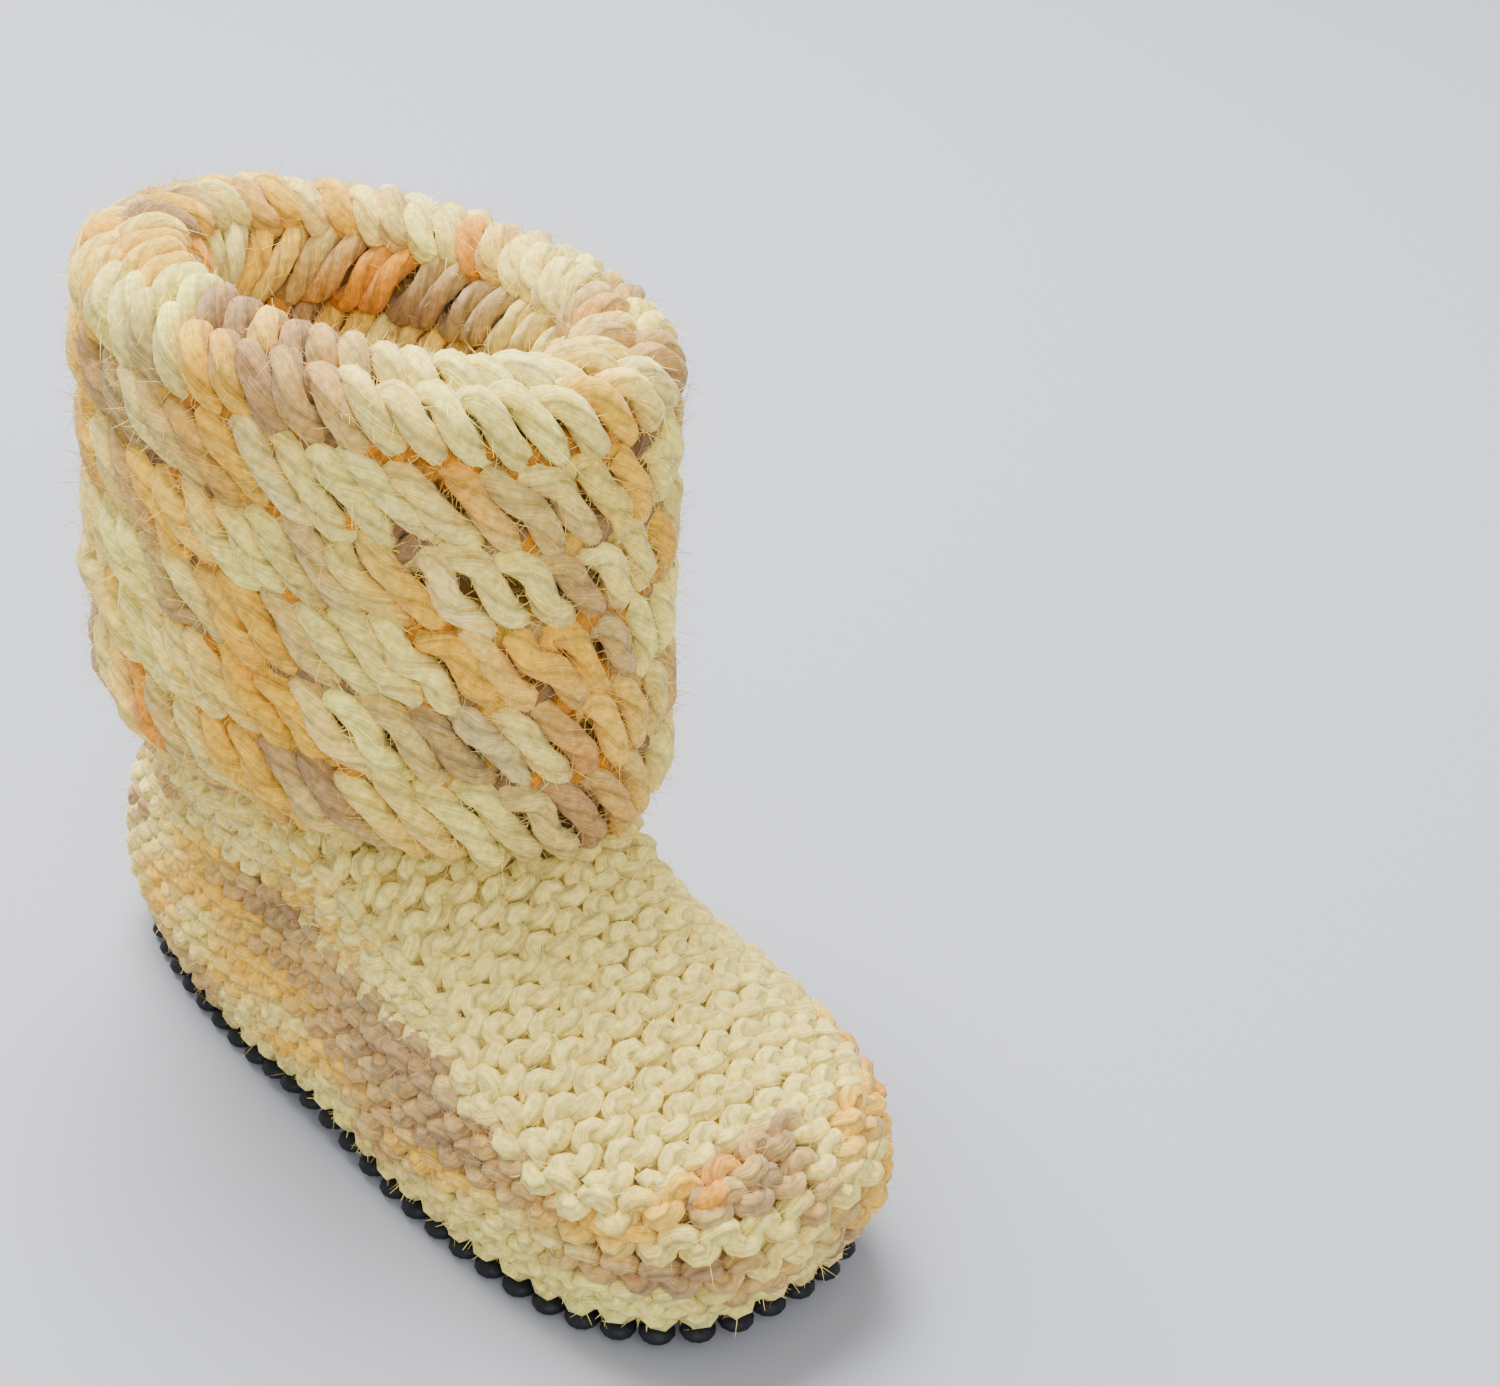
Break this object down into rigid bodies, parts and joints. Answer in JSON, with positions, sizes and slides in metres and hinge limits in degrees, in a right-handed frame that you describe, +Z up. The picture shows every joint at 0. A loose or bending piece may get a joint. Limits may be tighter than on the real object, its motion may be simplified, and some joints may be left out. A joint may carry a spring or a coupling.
{
  "type": "knitted mukluk slipper boot",
  "caption": "Ankle-high hand-knitted slipper boot with a garter-stitch foot, plain instep panel, chunky turned-down cuff and a rubber-coated mesh grip sole.",
  "frame": {"origin": "on the floor under the middle of the boot's bounding box", "axes": "+Z up, the toe points to -Y and the heel to +Y, +X is the wearer's left"},
  "size_m": [0.0606, 0.1391, 0.1145],
  "materials": {
    "variegated_knit": "soft wool, garter ridges in cream, orange and tan",
    "cream_knit": "soft wool, plain cream garter rows",
    "cuff_knit": "bulky double-strand wool in slanted braided rows",
    "tan_knit": "soft tan wool",
    "grip_mesh": "black rubber-coated bead mesh sewn on with wool cross-stitches"
  },
  "bodies": {
    "root": {"upper": "variegated_knit", "instep_panel": "cream_knit", "cuff": "cuff_knit", "knit_sole": "tan_knit", "grip_sole": "grip_mesh"}
  },
  "joints": []
}
